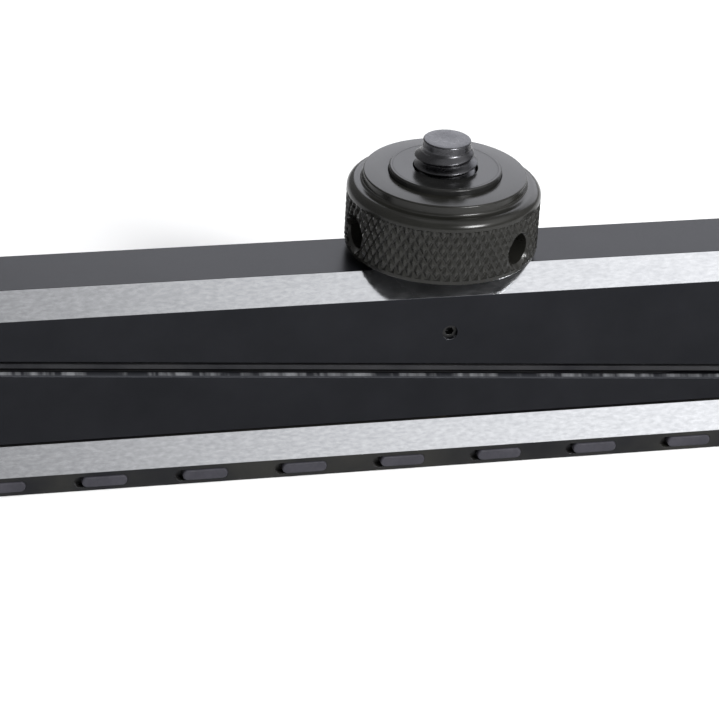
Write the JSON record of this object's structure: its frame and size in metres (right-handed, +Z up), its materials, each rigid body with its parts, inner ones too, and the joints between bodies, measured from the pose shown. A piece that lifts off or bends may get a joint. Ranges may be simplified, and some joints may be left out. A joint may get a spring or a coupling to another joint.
{
  "type": "camera slider",
  "caption": "Folding-arm camera slider: two stacked tapered arms on a base rail, belt-linked so the knurled camera mount travels in a straight line.",
  "frame": {"origin": "mouth of the tripod socket, at the centre of the base rail's underside", "axes": "+X along the bar towards the arms' free end, +Z up along the camera stud, -Y the front face with the drag screw"},
  "size_m": [0.2068, 0.0292, 0.049],
  "materials": {
    "rail_aluminium": "satin black anodised with bright milled 45 degree edges",
    "lower_shell_aluminium": "satin black anodised, worn bright along the parting edge",
    "upper_shell_aluminium": "satin black anodised with bright milled 45 degree edges",
    "cover_aluminium": "satin dark grey anodised",
    "lid_aluminium": "satin dark grey anodised",
    "pad_rubber": "moulded rubber",
    "mat_rubber": "textured rubber",
    "knob_aluminium": "diamond-knurled, satin charcoal anodised",
    "cap_aluminium": "turned, satin charcoal anodised",
    "top_pad_rubber": "ground grey rubber",
    "stud_steel": "blackened steel thread",
    "bright_steel": "ground steel",
    "black_steel": "black oxide",
    "bronze": "sintered bronze",
    "belt_rubber": "matt belt rubber",
    "machined_aluminium": "machined"
  },
  "bodies": {
    "base": {"base_rail": "rail_aluminium", "edge_pads": "pad_rubber", "base_mats": "mat_rubber", "shoulder_hub": "machined_aluminium", "hub_screws": "black_steel", "stop_pin": "bright_steel", "shoulder_thrust_washer": "bronze", "shoulder_pulley": "machined_aluminium", "shoulder_retaining_ring": "black_steel"},
    "lower_arm": {"lower_arm_shell": "lower_shell_aluminium", "lower_arm_lid": "lid_aluminium", "lower_lid_screws": "bright_steel", "shoulder_bush": "bronze", "lower_belt": "belt_rubber", "elbow_housing": "machined_aluminium", "elbow_bearing_lower": "bright_steel", "elbow_bearing_upper": "bright_steel", "elbow_sleeve_pulley": "bright_steel", "elbow_thrust_washer": "bronze"},
    "upper_arm": {"upper_arm_shell": "upper_shell_aluminium", "upper_arm_cover": "cover_aluminium", "upper_cover_screws": "bright_steel", "elbow_shaft": "bright_steel", "elbow_drive_pulley": "machined_aluminium", "elbow_cap_screw": "bright_steel", "upper_belt": "belt_rubber", "mount_block": "machined_aluminium", "mount_bearing": "bright_steel", "mount_bush": "bronze", "mount_thrust_washer": "bronze", "drag_screw": "black_steel", "drag_plug": "bronze"},
    "camera_mount": {"mount_shaft": "black_steel", "mount_pulley": "machined_aluminium", "mount_circlip": "black_steel", "knob_retainer": "black_steel", "camera_stud": "stud_steel"},
    "knob": {"knob_body": "knob_aluminium", "knob_bush": "bronze", "knob_cap": "cap_aluminium", "top_pad": "top_pad_rubber"}
  },
  "joints": [
    {"name": "shoulder", "type": "hinge", "parent": "base", "child": "lower_arm", "pos_m": [0, 0, 0], "axis": [0, 0, 1], "range_deg": [-80, 80]},
    {"name": "elbow", "type": "hinge", "parent": "lower_arm", "child": "upper_arm", "pos_m": [-0.091, 0, 0], "axis": [0, 0, 1], "range_deg": [-160, 160]},
    {"name": "camera_pivot", "type": "hinge", "parent": "upper_arm", "child": "camera_mount", "pos_m": [0, 0, 0], "axis": [0, 0, 1], "range_deg": [-80, 80]},
    {"name": "knob_spin", "type": "hinge", "parent": "camera_mount", "child": "knob", "pos_m": [0, 0, 0], "axis": [0, 0, 1], "continuous": true}
  ],
  "couplings": [
    {"joint": "elbow", "follows": "shoulder", "ratio": -2},
    {"joint": "camera_pivot", "follows": "shoulder", "ratio": 1}
  ]
}
